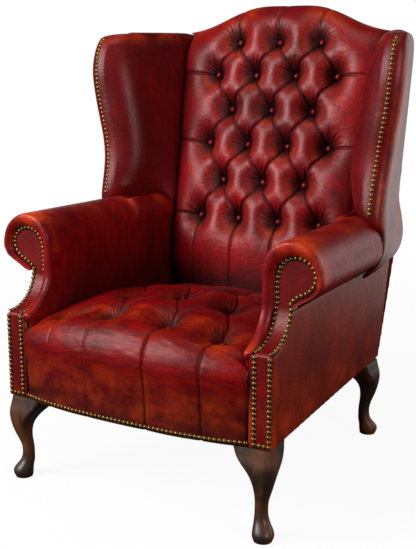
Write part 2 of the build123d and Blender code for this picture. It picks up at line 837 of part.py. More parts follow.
def outside_arm_panel():
    """The plain side of the chair, from the rails up to the underside of the roll."""
    wires = []
    for y in (facing_thick, body_depth - panel_thick - gap):
        low, high = panel_x(y, False), panel_x(y, True)
        top = skirt_low - gap
        wires.append(outline((low - panel_thick, y, leg_height), (low, y, leg_height),
                             (high, y, top), (high - panel_thick, y, top)).outer_wire())
    side = Solid.make_loft(wires, ruled=True)
    keep = neck_block(rear_half_width - overrun * 3, front_half_width + overrun * 3, facing_thick + gap,
                      body_depth, leg_height, neck_top)
    lean = outline((0, body_depth, leg_height - overrun),
                   (0, body_depth + overrun * 3, leg_height - overrun),
                   (0, body_depth + overrun * 3, skirt_low), (0, rear_y(skirt_low) - gap, skirt_low))
    return solids_of((side & keep) - prism(lean, (front_half_width * 2, 0, 0)))


# Suspension

def seat_spring(x):
    """One zigzag spring from the front rail to the rear rail."""
    z = leg_height + rail_depth + spring_wire / 2 + gap
    start, end = border_thick + rail_thick / 2, rear_y(leg_height) - upright_thick / 2
    turns = int((end - start - clip_length * 2) / spring_pitch)
    first = (start + end - turns * spring_pitch) / 2
    points = [(x, start, z)]
    for i in range(turns + 1):
        y, sway = first + i * spring_pitch, spring_sway * (-1) ** i
        points += [(x - sway if i else x, y, z), (x if i == turns else x + sway, y, z)]
    points.append((x, end, z))
    clean = [points[0]] + [b for a, b in zip(points, points[1:]) if a != b]
    path = FilletPolyline(*clean, radius=spring_bend)
    profile = Plane(origin=clean[0], z_dir=(0, 1, 0)) * Circle(spring_wire / 2)
    return sweep(profile, path=path.wire())


def spring_places():
    middle = (spring_count - 1) / 2
    return [(i - middle) * spring_spread for i in range(spring_count)]


def seat_springs():
    return Compound([seat_spring(x).solid() for x in spring_places()])


def spring_clips():
    """Bent clips that hold each spring's ends down on the rails."""
    z = leg_height + rail_depth
    front = border_thick + rail_thick / 2 + clip_length
    ends = (front, rear_y(leg_height) - upright_thick / 2 - clip_length / 2)
    clips = []
    for x in spring_places():
        for y in ends:
            height = spring_wire + gap * 2
            plate = Box(clip_width, clip_length / 2, height,
                        align=(Align.CENTER, Align.CENTER, Align.MIN))
            along = Pos(0, 0, spring_wire / 2 + gap) * Rot(90, 0, 0)
            wire = along * Cylinder(spring_wire / 2 + gap / 2, clip_length)
            clips.append((Pos(x, y, z) * (plate - wire)).solid())
    return Compound(clips)


def seat_hessian():
    z = leg_height + rail_depth + spring_wire + gap * 2
    y0 = border_thick + rail_thick
    x0, x1 = inner_x(y0) - arm_wall, inner_x(seat_back) - arm_wall
    y1 = seat_back + overrun * 4
    face = outline((-x0, y0, z), (x0, y0, z), (x1, y1, z), (-x1, y1, z))
    return prism(face, (0, 0, cloth_thick - gap))


def back_webbing():
    """Straps across the liners, behind the back padding."""
    straps = []
    half = upright_inner + rail_thick - gap
    for i in range(button_rows - 1):
        v = (i - 1) * row_pitch
        strap = Box(half * 2, web_width, web_thick)
        straps.append((back_plane * Pos(0, v, back_rear - gap - web_thick / 2) * strap).solid())
    return Compound(straps)


def dust_cover():
    y0, y1 = border_thick + rail_thick / 2, rear_y(leg_height) - upright_thick / 2
    x0, x1 = panel_x(y0, False) - panel_thick * 2, panel_x(y1, False) - panel_thick * 2
    sheet = slab((y0, -x0, x0), (y1, -x1, x1), leg_height - cloth_thick, leg_height)
    size = knee * 2
    for x, y in ((leg_x, leg_y), (rear_leg_x, rear_leg_y)):
        step = knee * 0.66 / sqrt(2)
        cy = y + step if y < seat_back else y - step
        for side in (-1, 1):
            sheet = sheet - Pos(side * (x - step), cy, leg_height) * Box(size, size, overrun)
    return solids_of(sheet)


# Nails

def nail():
    """A domed brass head, flat underneath: the cap of a ball."""
    ball = (nail_radius ** 2 + nail_height ** 2) / (2 * nail_height)
    base = Box(4 * ball, 4 * ball, 2 * ball, align=(Align.CENTER, Align.CENTER, Align.MAX))
    return (Pos(0, 0, nail_height - ball) * Sphere(ball) - base).solid()


def nailed(path, normal_at, pitch=nail_pitch):
    """Nail heads along a wire, evenly spaced, each with its base on the leather."""
    head = nail()
    count = max(ceil(path.length / pitch), 1)
    heads = []
    for i in range(count + 1):
        p, n = path.position_at(i / count), Vector(*normal_at(path, i / count)).normalized()
        heads.append(Plane(origin=p + n * gap / 3, z_dir=n).location * head)
    return heads


def forward(path, t):
    return 0, -1, 0


def off_neck(path, t):
    """Square to the swan neck, on its open side."""
    along = path.tangent_at(t)
    n = Vector(0, -along.Z, along.Y)
    return tuple(n if n.Y < 0 or n.Z > 0 else -n)


def facing_nails():
    """Nails up the inside of the facing, round the scroll and down the outside."""
    heads = []
    for x in (nail_inner_x, nail_outer_x):
        column = Wire([Edge.make_line((x, 0, nail_foot + nail_pitch), (x, 0, step_height - nail_radius))])
        top = (x, neck_depth, neck_top)
        start = (x, step_rise, step_height + step_rise)
        mid = (x, neck_depth * neck_lean_share, step_height + (neck_top - step_height) * neck_sag_share)
        neck = Wire([Edge.make_three_point_arc(start, mid, top)])
        heads += nailed(column, forward) + nailed(neck, off_neck)
    r = scroll_nails
    y, cx, cz = neck_depth, scroll_x, scroll_z
    points = [(nail_inner_x + nail_height, neck_top + nail_pitch), (cx - r, cz),
              (cx - r * 0.7, cz + r * 0.7), (cx, cz + r * 0.97),
              (cx + r * 0.7, cz + r * 0.7), (cx + r, cz + r * 0.05),
              (cx + r * 0.62, cz - r * 0.62), (cx - r * 0.02, cz - r * 0.98),
              (nail_outer_x - nail_height / 2, neck_top + nail_pitch)]
    ring = Wire([Edge.make_spline([Vector(x, y, z) for x, z in points])])
    return Compound(heads + nailed(ring, forward))


def front_border_nails():
    """The row of nails along the foot of the front border and across the posts."""
    half = facing_edge - nail_radius
    shares = (-1, -0.75, -0.4, 0, 0.4, 0.75, 1)
    curve = Edge.make_spline([Vector(s * half, bow(s * half), nail_foot) for s in shares])

    def square(path, t):
        along = path.tangent_at(t)
        return along.Y, -along.X, 0

    heads = nailed(Wire([curve]), square)
    for side in (-1, 1):
        for x in (nail_inner_x, (nail_inner_x + nail_outer_x) / 2 - nail_radius,
                  (nail_inner_x + nail_outer_x) / 2 + nail_radius * 1.4, nail_outer_x):
            seat = Plane(origin=(side * x, -gap / 3, nail_foot), z_dir=(0, -1, 0))
            heads.append(seat.location * nail())
    return Compound(heads)


def wing_nails():
    """The row of nails up the front edge of the wing and over its top."""
    points = []
    for row in wing_shares[1:-1]:
        z = wing_foot + row[0] * (wing_top - wing_foot)
        fx, fy, _, _ = wing_line(z)
        r = wing_roll - row[3] * wing_roll * 0.6
        points.append(Vector(fx, fy - r, z))
    curve = Wire([Edge.make_spline(points)])

    def square(path, t):
        along = path.tangent_at(t)
        return 0, -along.Z, along.Y

    return Compound(nailed(curve, square))


def build():
    """Every piece of the chair by name, before it is centred."""
    parts = {}

    def pair(name, shape):
        parts["right_" + name] = shape
        parts["left_" + name] = mirrored(shape)

    parts["front_rail"] = front_rail()
    parts["rear_rail"] = rear_rail()
    pair("side_rail", side_rail())
    parts["corner_blocks"] = corner_blocks()
    bolts = [bolt(front_bolt), bolt(rear_bolt)]
    pair("front_post", front_post() - bolt(front_bolt, gap / 2))
    pair("scroll_board", scroll_board())
    pair("arm_rail", arm_rail())
    pair("rear_upright", rear_upright() - bolt(rear_bolt, gap / 2))
    pair("back_liner", back_liner())
    parts["crest_rail"] = crest_rail()
    parts["lower_back_rail"] = lower_back_rail()
    pair("wing_frame", wing_frame())
    pair("front_leg", leg(leg_x, leg_y, -1) - bolt(front_bolt, gap / 2))
    pair("rear_leg", leg(rear_leg_x, rear_leg_y, 1) - bolt(rear_bolt, gap / 2))
    parts["leg_bolts"] = Compound([b.solid() for b in bolts] + [mirrored(b).solid() for b in bolts])
    parts["seat_springs"] = seat_springs()
    parts["spring_clips"] = spring_clips()
    parts["seat_hessian"] = seat_hessian()
    parts["back_webbing"] = back_webbing()
    parts["seat_pad"] = seat_pad()
    parts["seat_cover"] = seat_cover()
    parts["seat_buttons"] = seat_buttons()
    parts["back_pad"] = back_pad()
    parts["inside_back_cover"] = inside_back_cover()
    parts["back_buttons"] = back_buttons()
    parts["outside_back_panel"] = outside_back_panel()
    cover, pad = arm_parts()
    pair("inside_arm_cover", cover)
    pair("arm_pad", pad)
    pair("arm_facing", arm_facing())
    pair("outside_arm_panel", outside_arm_panel())
    inside, outside, core = wing_parts(arm_body(-gap))
    pair("inside_wing_cover", inside)
    pair("outside_wing_panel", outside)
    pair("wing_pad", core)
    parts["dust_cover"] = dust_cover()
    pair("facing_nails", facing_nails())
    parts["front_border_nails"] = front_border_nails()
    pair("wing_nails", wing_nails())
    return parts


def main():
    parts = build()
    box = Compound([s for shape in parts.values() for s in shape.solids()]).bounding_box()
    home = Pos(-(box.min.X + box.max.X) / 2, -(box.min.Y + box.max.Y) / 2, -box.min.Z)
    os.makedirs("parts", exist_ok=True)
    for name, shape in parts.items():
        export_step(home * shape, os.path.join("parts", name + ".step"))
    print("size", box.size, "home", home)


main()
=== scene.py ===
import math

import bpy
import bmesh
import numpy as np
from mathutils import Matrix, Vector
from mathutils.kdtree import KDTree


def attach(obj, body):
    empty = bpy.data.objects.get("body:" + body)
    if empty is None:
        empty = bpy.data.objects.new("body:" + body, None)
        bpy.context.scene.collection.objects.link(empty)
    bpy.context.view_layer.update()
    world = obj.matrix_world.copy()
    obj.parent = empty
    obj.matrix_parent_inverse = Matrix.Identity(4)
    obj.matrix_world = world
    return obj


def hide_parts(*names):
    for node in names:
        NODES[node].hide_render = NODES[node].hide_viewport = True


# Looks of a deep-buttoned wing chair. x runs to the chair's left_ and right_ sides, y starts at
# the face of the front posts and z at the floor. Lengths are in millimetres, except in materials,
# in meshes that Blender holds already, and for the floor, the lamps and the camera: metres there.

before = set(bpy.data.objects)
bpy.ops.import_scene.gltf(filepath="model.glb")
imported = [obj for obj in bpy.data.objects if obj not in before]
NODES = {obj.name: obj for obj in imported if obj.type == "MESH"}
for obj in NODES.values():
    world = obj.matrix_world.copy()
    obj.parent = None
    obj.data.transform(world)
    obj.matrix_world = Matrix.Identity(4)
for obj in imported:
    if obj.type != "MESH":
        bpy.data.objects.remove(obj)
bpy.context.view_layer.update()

CENTRE_Y = 390.06             # the frame's origin lies this far behind the front posts
SCENE = bpy.context.scene


def rise(x, start, end):
    """0 up to start and 1 from end on, straight between. Where end is lower, it grows downwards."""
    return np.clip((x - start) / (end - start), 0, 1)


def bell(x, centre, width):
    """1 at the centre and fading to both sides."""
    return np.exp(-((x - centre) / width) ** 2)


# Materials

def srgb(r, g, b):
    """A colour given as it looks, 0 to 255, in the linear values that shaders take."""
    out = []
    for c in (r, g, b):
        c /= 255
        out.append(c / 12.92 if c <= 0.04045 else ((c + 0.055) / 1.055) ** 2.4)
    return (*out, 1)


def grey(v):
    return (v, v, v, 1)


def darker(colour, share):
    """Only a share of a colour."""
    return (*(c * share for c in colour[:3]), 1)


BLACK, WHITE = grey(0), grey(1)
MOTTLE = srgb(48, 1, 6)
RUBBED = srgb(206, 62, 12)
SOCKET_A, SOCKET_B, MIXED = 6, 7, 2      # a mix node's places for its two colours and their mix


class Nodes:
    """A node tree, a new material's or a given one, with short calls for adding and joining."""

    def __init__(self, name, tree=None):
        if tree is None:
            self.material = bpy.data.materials.new(name)
            self.material.use_nodes = True
            tree = self.material.node_tree
            self.shader = tree.nodes["Principled BSDF"]
        self.tree = tree

    def add(self, kind, **settings):
        """A new node. Settings that it hasn't are values of its sockets."""
        node = self.tree.nodes.new(kind)
        for key, value in settings.items():
            if hasattr(node, key):
                setattr(node, key, value)
            else:
                node.inputs[key].default_value = value
        return node

    def join(self, source, target):
        self.tree.links.new(source, target)

    def value(self, name, number):
        """Set the shader's socket to one value."""
        self.shader.inputs[name].default_value = number

    def feed(self, name, source):
        """Join a source to the shader's socket."""
        self.join(source, self.shader.inputs[name])

    def place(self, scale=(1, 1, 1)):
        """Object coordinates, stretched by scale."""
        coords = self.add("ShaderNodeTexCoord")
        mapping = self.add("ShaderNodeMapping", Scale=scale)
        self.join(coords.outputs["Object"], mapping.inputs["Vector"])
        return mapping.outputs["Vector"]

    def attribute(self, name):
        return self.add("ShaderNodeAttribute", attribute_name=name).outputs["Fac"]

    def noise(self, where, scale, detail, rough=0.5, distortion=0.0):
        node = self.add("ShaderNodeTexNoise", Scale=scale, Detail=detail, Roughness=rough,
                        Distortion=distortion)
        self.join(where, node.inputs["Vector"])
        return node.outputs["Fac"]

    def ramp(self, source, *stops):
        """Colours by the source's value. Each stop is (value, colour)."""
        node = self.add("ShaderNodeValToRGB")
        ramp = node.color_ramp
        while len(ramp.elements) < len(stops):
            ramp.elements.new(0.5)
        for element, (place, colour) in zip(ramp.elements, stops):
            element.position = place
            element.color = colour
        self.join(source, node.inputs["Fac"])
        return node.outputs["Color"]

    def mix(self, amount, a, b):
        """Colour a, and b where amount is 1. Each is a colour or another node's socket."""
        node = self.add("ShaderNodeMix", data_type="RGBA")
        self.join(amount, node.inputs[0])
        for k, source in ((SOCKET_A, a), (SOCKET_B, b)):
            if isinstance(source, tuple):
                node.inputs[k].default_value = source
            else:
                self.join(source, node.inputs[k])
        return node.outputs[MIXED]

    def maths(self, operation, a, b):
        """A sum, product or the like of two numbers or sockets."""
        node = self.add("ShaderNodeMath", operation=operation)
        for socket, source in zip(node.inputs, (a, b)):
            if isinstance(source, (int, float)):
                socket.default_value = source
            else:
                self.join(source, socket)
        return node.outputs[0]

    def bump(self, height, distance, strength, under=None):
        """Normals of a fine relief, distance metres high, on top of another one if it is given."""
        node = self.add("ShaderNodeBump", Distance=distance, Strength=strength)
        self.join(height, node.inputs["Height"])
        if under is not None:
            self.join(under, node.inputs["Normal"])
        return node.outputs["Normal"]


def leather(name, light, deep, streak=(14, 14, 3), gloss=0.28, dim=srgb(26, 1, 3)):
    """Hand-dyed hide: dark mottling over red, orange where wear is high, dim under painted shade.

    streak is how close the mottling stands along x, y and z."""
    m = Nodes(name)
    here = m.place()
    cloud = m.noise(here, scale=7.0, detail=6, rough=0.62)
    streaks = m.noise(m.place(streak), scale=7.0, detail=7, rough=0.7, distortion=0.4)
    base = m.ramp(cloud, (0.34, deep), (0.66, light))
    dark = m.ramp(streaks, (0.4, BLACK), (0.68, WHITE))
    base = m.mix(m.maths("MULTIPLY", dark, 0.72), base, MOTTLE)
    worn = m.ramp(m.noise(here, scale=18.0, detail=6, rough=0.65), (0.36, BLACK), (0.6, WHITE))
    base = m.mix(m.maths("MULTIPLY", m.attribute("wear"), worn), base, RUBBED)
    shade = m.attribute("shade")
    # painted shade: the base colour goes towards dim as the shade attribute rises
    m.feed("Base Color", m.mix(shade, base, dim))
    rough = m.ramp(streaks, (0.3, grey(0.34)), (0.7, grey(0.44)))
    m.feed("Roughness", m.mix(shade, rough, grey(0.55)))
    m.value("Specular IOR Level", gloss)
    m.value("Specular Tint", (1.0, 0.74, 0.72, 1.0))
    cells = m.add("ShaderNodeTexVoronoi", feature="DISTANCE_TO_EDGE", Scale=170.0)
    m.join(m.place((1.1, 1, 0.8)), cells.inputs["Vector"])
    crackle = m.ramp(cells.outputs["Distance"], (0.0, BLACK), (0.16, WHITE))
    fine = m.bump(crackle, distance=0.0004, strength=0.3)
    creased = m.noise(m.place((1, 1, 3)), scale=45.0, detail=3, distortion=0.5)
    m.feed("Normal", m.bump(creased, distance=0.001, strength=0.4, under=fine))
    return m.material


def wood(name):
    """Dark stained hardwood with long grain and warmer patches."""
    m = Nodes(name)
    grain = m.noise(m.place((22, 22, 2.2)), scale=12.0, detail=8, rough=0.6, distortion=0.8)
    patches = m.noise(m.place((3, 3, 1.4)), scale=6.0, detail=3)
    base = m.ramp(grain, (0.3, srgb(24, 15, 9)), (0.75, srgb(64, 36, 16)))
    warm = m.ramp(patches, (0.45, BLACK), (0.75, WHITE))
    m.feed("Base Color", m.mix(m.maths("MULTIPLY", warm, 0.75), base, srgb(138, 74, 28)))
    m.value("Roughness", 0.48)
    m.value("Coat Weight", 0.18)
    m.value("Coat Roughness", 0.18)
    m.feed("Normal", m.bump(grain, distance=0.0006, strength=0.35))
    return m.material


def plain(name, colour, rough, metal=0.0, vary=0.25, scale=40.0):
    """One colour with patches that are up to vary darker."""
    m = Nodes(name)
    tone = m.noise(m.place(), scale=scale, detail=5, rough=0.6)
    m.feed("Base Color", m.ramp(tone, (0.35, darker(colour, 1 - vary)), (0.65, colour)))
    m.value("Roughness", rough)
    m.value("Metallic", metal)
    m.feed("Normal", m.bump(tone, distance=0.0004, strength=0.4))
    return m.material


def weave(name, colour, pitch):
    """Plain woven cloth with threads pitch metres apart."""
    repeat = 0.314            # metres between the waves of a texture whose scale is 1
    m = Nodes(name)
    where = m.place()
    waves = []
    for direction in ("X", "Y"):
        wave = m.add("ShaderNodeTexWave", bands_direction=direction, Scale=repeat / pitch,
                     Distortion=0.6)
        m.join(where, wave.inputs["Vector"])
        waves.append(wave.outputs["Fac"])
    threads = m.maths("MULTIPLY", *waves)
    m.feed("Base Color", m.ramp(threads, (0.0, darker(colour, 0.55)), (0.6, colour)))
    m.value("Roughness", 0.9)
    m.feed("Normal", m.bump(threads, distance=0.0004, strength=0.5))
    return m.material


HIDE = leather("leather_soft", light=srgb(156, 5, 10), deep=srgb(108, 1, 6), gloss=0.36)
BACK = leather("leather_back", light=srgb(166, 4, 10), deep=srgb(110, 1, 6), gloss=0.4)
# the seat's painted shade is a dark brown
SEAT = leather("leather_seat", light=srgb(146, 4, 6), deep=srgb(100, 1, 4),
               streak=(2.6, 12, 16), gloss=0.24, dim=srgb(34, 8, 1))
PANEL = leather("leather_panel", light=srgb(128, 3, 9), deep=srgb(88, 1, 5),
                streak=(26, 26, 3.2), gloss=0.38)
OUTSIDE = leather("leather_outside", light=srgb(158, 42, 6), deep=srgb(112, 20, 4),
                  streak=(30, 30, 2.2), gloss=0.2)
BUTTON = leather("leather_button", light=srgb(132, 6, 16), deep=srgb(96, 3, 11))
LEG = wood("wood_dark")
BRASS = plain("brass_antique", srgb(141, 109, 62), rough=0.42, metal=1.0, vary=0.5, scale=260.0)
STEEL = plain("steel_wire", srgb(150, 150, 150), rough=0.4, metal=1.0)
BEECH = plain("wood_sawn", srgb(196, 164, 120), rough=0.7, vary=0.2, scale=30.0)
CLOTH = weave("cloth_black", srgb(58, 54, 52), pitch=0.0011)
FELT = plain("padding_felt", srgb(214, 204, 184), rough=0.95)


# Mesh helpers

def shown(name, points, faces, material, attributes=None):
    """A smooth object from points in millimetres, riding on the chair."""
    data = bpy.data.meshes.new(name)
    co = np.asarray(points, float).copy()
    co[:, 1] -= CENTRE_Y
    data.from_pydata((co / 1000).tolist(), [], faces)
    data.validate()
    for key, values in (attributes or {}).items():
        layer = data.attributes.new(key, "FLOAT", "POINT")
        layer.data.foreach_set("value", np.asarray(values, np.float32))
    data.polygons.foreach_set("use_smooth", [True] * len(data.polygons))
    data.materials.append(material)
    obj = bpy.data.objects.new(name, data)
    SCENE.collection.objects.link(obj)
    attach(obj, "root")
    return obj


def grid_faces(rows, columns):
    i = np.arange(rows - 1)[:, None] * columns + np.arange(columns - 1)[None, :]
    quads = np.stack([i, i + 1, i + columns + 1, i + columns], -1)
    return quads.reshape(-1, 4).tolist()


def grid_normals(p):
    """Unit normals of a grid of points, by finite differences."""
    n = np.cross(np.gradient(p, axis=1), np.gradient(p, axis=0))
    return n / np.maximum(np.linalg.norm(n, axis=-1, keepdims=True), 1e-9)


def value_noise(x, y, cell, seed):
    """Smooth noise from -1 to 1 on a lattice of cell millimetres."""
    across, along = 97, 89
    table = np.random.default_rng(seed).uniform(-1, 1, (across, along))
    gx, gy = x / cell, y / cell
    ix, iy = np.floor(gx).astype(int), np.floor(gy).astype(int)
    fx, fy = gx - ix, gy - iy
    fx, fy = fx * fx * (3 - 2 * fx), fy * fy * (3 - 2 * fy)

    def at(a, b):
        return table[a % across, b % along]

    low = at(ix, iy) * (1 - fx) + at(ix + 1, iy) * fx
    high = at(ix, iy + 1) * (1 - fx) + at(ix + 1, iy + 1) * fx
    return low * (1 - fy) + high * fy


def segment(x, y, a, b):
    """Distance of each point from the line a to b, and how far along it lies, 0 to 1."""
    ax, ay = a
    dx, dy = b[0] - ax, b[1] - ay
    t = np.clip(((x - ax) * dx + (y - ay) * dy) / (dx * dx + dy * dy), 0, 1)
    return np.hypot(x - ax - t * dx, y - ay - t * dy), t


def wavy_line(x, y, a, b, bend):
    """The same for a line that sways by about bend, to one side and then to the other."""
    across = (a[1] - b[1], b[0] - a[0])
    scale = bend / max(math.hypot(*across), 1e-6)
    stops = [a]
    for share, lean in ((0.3, 1.0), (0.7, -0.55)):
        stops.append((a[0] + (b[0] - a[0]) * share + across[0] * scale * lean,
                      a[1] + (b[1] - a[1]) * share + across[1] * scale * lean))
    stops.append(b)
    distance = np.full_like(x, 1e9)
    along = np.zeros_like(x)
    for k in range(3):
        d, t = segment(x, y, stops[k], stops[k + 1])
        along = np.where(d < distance, (k + t) / 3, along)
        distance = np.minimum(distance, d)
    return distance, along


def blurred(field, cells):
    """A field on a grid, softened over about so many cells each way."""
    reach = int(cells * 3)
    weights = np.exp(-(np.arange(-reach, reach + 1) / cells) ** 2)
    weights /= weights.sum()
    for axis in (0, 1):
        pad = [(reach, reach) if k == axis else (0, 0) for k in (0, 1)]
        wide = np.pad(field, pad, mode="edge")
        field = np.apply_along_axis(lambda row: np.convolve(row, weights, mode="valid"), axis, wide)
    return field


def tufting(x, s, buttons, creases, depth, funnel, wrinkles, plump, reach, seed):
    """How far the leather is drawn in at each place, how rubbed it is and how much painted shade it
    has.

    x runs across and s along the leather. depth and funnel are the depth and width of the dimple
    round each button, wrinkles the height of the small pleats beside it. plump is how far the
    leather swells out where it is drawn in by less than reach. Each crease is
    (start, end, fold depth at the start, at the end, hollow beside it, sideways bend)."""
    fold_width, hollow_width, line_width = 2.8, 24, 3.0
    pleat_ring, pleat_width = 25, 14
    wear_ring, wear_width, shade_width = 34, 10, 36
    sharp_width, hollow_blur, puff_blur = 28, 14, 13
    local = np.random.default_rng(seed)
    fold, hollow, line = (np.zeros_like(x) for _ in range(3))
    for a, b, deep_a, deep_b, broad, bend in creases:
        d, t = wavy_line(x, s, a, b, bend + 0.8 * local.uniform(-1, 1))
        deep = deep_a * (1 - t) ** 1.5 + deep_b * t ** 1.5
        fold = np.maximum(fold, deep * np.exp(-d / fold_width))
        hollow += (broad * (deep / max(deep_a, deep_b)) * bell(d, 0, hollow_width)) ** 2
        # painted shade along each crease, stronger where it folds deeper
        line = np.maximum(line, bell(d, 0, line_width) * np.clip(deep / 6, 0, 1))
    near = np.full_like(x, 1e9)
    below, dimples, pleats = (np.zeros_like(x) for _ in range(3))
    for bx, by in buttons:
        dx, dy = x - bx, s - by
        angle = np.arctan2(dy, dx)
        phase = local.uniform(0, 6.28, 4)
        lobes = 1 + 0.10 * np.sin(2 * angle + phase[0]) + 0.06 * np.sin(3 * angle + phase[1])
        r = np.hypot(dx * 1.06, dy * 0.94)
        nearest = r < near
        near = np.minimum(near, r)
        below = np.where(nearest, np.clip(0.45 - 0.55 * np.sin(angle), 0, 1), below)
        dimples += (depth * np.exp(-(r * lobes / funnel) ** 1.6)) ** 3
        sway = 0.9 * np.sin(angle * 3 + phase[3])
        fan = 1 - 2 * np.abs(np.sin(angle * 8 + phase[2] + sway)) ** 0.7
        fan += 0.6 * np.sin(angle * 23 + phase[1] + r * 0.05)
        side = 0.6 + 0.4 * np.sin(angle + local.uniform(-0.5, 0.5))
        pleats += wrinkles * fan * side * bell(r, pleat_ring, pleat_width)
    body = (dimples + blurred(np.sqrt(hollow), hollow_blur) ** 3) ** (1 / 3)
    body -= plump * bell(body, 0, reach)
    sharp = bell(near, 0, sharp_width)
    drop = body * sharp + blurred(body, puff_blur) * (1 - sharp) + fold + pleats
    wear = below * bell(near, wear_ring, wear_width)
    # painted shade: dark round each button and along the creases
    shade = np.clip(1.15 * bell(near, 0, shade_width) + 0.85 * line, 0, 1)
    return drop, wear, shade


def disc(radius, thick, dome, rings, sides):
    """A small round head as points and faces: an edge so thick, a dome above, its base on z = 0."""
    profile = [(radius * 0.86, 0), (radius, thick * 0.35), (radius * 0.95, thick * 0.75)]
    for k in range(1, rings):
        a = k / rings * math.pi / 2
        profile.append((radius * 0.9 * math.cos(a), thick * 0.8 + dome * math.sin(a)))
    turns = [2 * math.pi * i / sides for i in range(sides)]
    points = [(r * math.cos(t), r * math.sin(t), z) for r, z in profile for t in turns]
    last = (len(profile) - 1) * sides
    top = len(points)
    points.append((0, 0, thick * 0.8 + dome))
    faces = [tuple(reversed(range(sides)))]
    for i in range(sides):
        j = (i + 1) % sides
        faces.append((last + i, last + j, top))
        faces += [(k + i, k + j, k + sides + j, k + sides + i) for k in range(0, last, sides)]
    return np.array(points), faces


def scattered(name, places, shape, material):
    """Copies of one small shape, each at a point and square to a normal, as one object."""
    points, faces = [], []
    base, base_faces = shape
    for place, normal in places:
        n = np.array(normal, float)
        n /= np.linalg.norm(n)
        side = np.cross((0, 0, 1) if abs(n[2]) < 0.9 else (1, 0, 0), n)
        side /= np.linalg.norm(side)
        up = np.cross(n, side)
        start = len(points) * len(base)
        points.append(base @ np.array([side, up, n]) + np.array(place, float))
        faces += [tuple(v + start for v in f) for f in base_faces]
    return shown(name, np.concatenate(points), faces, material)


COVERED_BUTTON = disc(7.8, thick=3.0, dome=4.2, rings=5, sides=20)
NAIL_HEAD = disc(5.45, thick=0.9, dome=2.8, rings=4, sides=16)


def diamonds(rows, widest, deep, broad, bend):
    """Creases from each button to those of the next row that are no further across than widest."""
    return [(p, q, deep, deep, broad, bend * np.sign(q[0] - p[0]))
            for low, high in zip(rows, rows[1:]) for p in low for q in high
            if abs(p[0] - q[0]) < widest]


def to_sides(rows, lift, form):
    """Creases from the outer buttons of some rows to the edges of the leather."""
    border = 300
    return [(p, (math.copysign(border, p[0]), p[1] + lift), *form)
            for row in rows for p in (row[0], row[-1])]


# The inside back

RAKE = math.radians(13.98)
TO_SITTER = np.array((0, -math.cos(RAKE), math.sin(RAKE)))
BUTTON_Y, BUTTON_Z = 586.0, 573.0        # the middle of the lowest row of buttons
PITCH = 116.0                            # of the buttons in a row
BACK_HEIGHTS = (0, 99, 196, 288, 379, 466)
BACK_ROWS = [[(s * PITCH, v) for s in ((-1.02, 0, 1.02) if i % 2 else (-1.5, -0.5, 0.5, 1.5))]
             for i, v in enumerate(BACK_HEIGHTS)]


def back_place(x, v, w):
    """A point of the back: x across, v up the slope from the lowest buttons, w to the sitter."""
    y = BUTTON_Y + v * math.sin(RAKE) - w * math.cos(RAKE)
    z = BUTTON_Z + v * math.cos(RAKE) + w * math.sin(RAKE)
    return np.stack([x, y, z], -1)


def crest(x):
    """How far up the slope the back ends: nearly level in the middle and lower at the wings."""
    return 497 + 67 / (1 + np.abs(x / 176) ** 4.4)


def back_half(v):
    """Half of the back's width, growing upwards."""
    return 262 + 35 * np.clip((v - 30) / 462, 0, 1.2)


def back_creases(foot):
    """Diamonds between the buttons, and creases down to the foot, up to the crest and sideways."""
    creases = diamonds(BACK_ROWS, PITCH * 0.7, deep=9, broad=11, bend=4.0)
    creases += [(p, (p[0] * 1.03, foot - 20), 9, 2, 10, 1.5) for p in BACK_ROWS[0]]
    creases += [(p, (p[0] * 1.06, 720), 6, 1.4, 2, 2.0) for p in BACK_ROWS[-1]]
    return creases + to_sides(BACK_ROWS[::2], lift=4, form=(8, 5, 8, 1.5))


